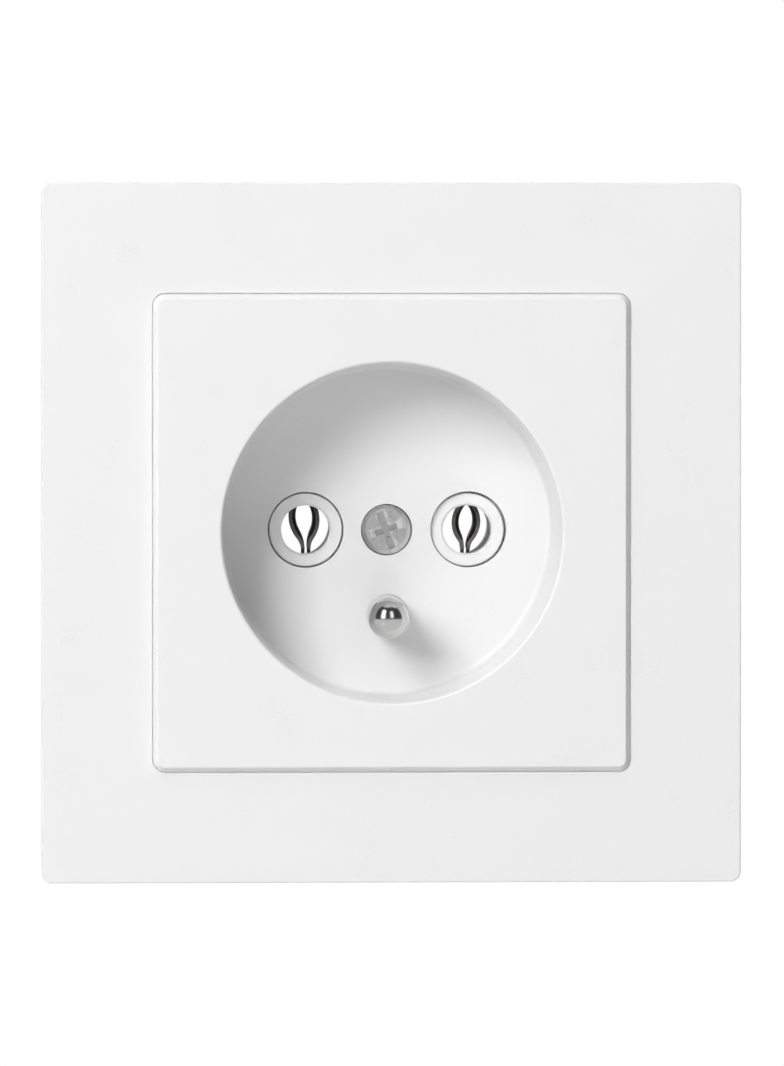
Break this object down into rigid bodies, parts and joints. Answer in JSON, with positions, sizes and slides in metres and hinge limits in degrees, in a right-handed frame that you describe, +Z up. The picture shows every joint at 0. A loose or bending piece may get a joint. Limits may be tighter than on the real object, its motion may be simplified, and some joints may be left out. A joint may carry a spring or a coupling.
{
  "type": "flush wall socket outlet",
  "caption": "Square white flush wall socket with a round recess, sprung contacts behind round holes, a fixed round earth pin, a cover screw, a steel strap and a wired insert.",
  "frame": {"origin": "where the middle of the line between the two contacts meets the wall's face, which is the back of the mounting strap", "axes": "+X to the right and +Z up as seen from the room, +Y into the wall"},
  "size_m": [0.081, 0.041, 0.081],
  "materials": {
    "cover_plastic": "fine satin white moulded plastic",
    "insert_plastic": "plain white technical plastic",
    "strap_steel": "zinc plated sheet steel",
    "screw_steel": "bright zinc plated steel",
    "rivet_steel": "plated steel",
    "pin_nickel": "polished nickel plate",
    "contact_bronze": "tinned spring bronze",
    "terminal_brass": "plain brass"
  },
  "bodies": {
    "root": {"cover_frame": "cover_plastic", "centre_plate": "cover_plastic", "cover_screw": "screw_steel", "mounting_strap": "strap_steel", "strap_rivets": "rivet_steel", "insert_body": "insert_plastic", "back_cover": "insert_plastic", "back_cover_screws": "screw_steel", "thread_bush": "terminal_brass", "contact_left": "contact_bronze", "contact_right": "contact_bronze", "earth_pin": "pin_nickel", "earth_bar": "terminal_brass", "terminal_cage_left": "terminal_brass", "terminal_cage_right": "terminal_brass", "terminal_cage_earth": "terminal_brass", "terminal_screws": "screw_steel", "clamp_pad_left": "screw_steel", "clamp_pad_right": "screw_steel", "clamp_pad_earth": "screw_steel"}
  },
  "joints": []
}
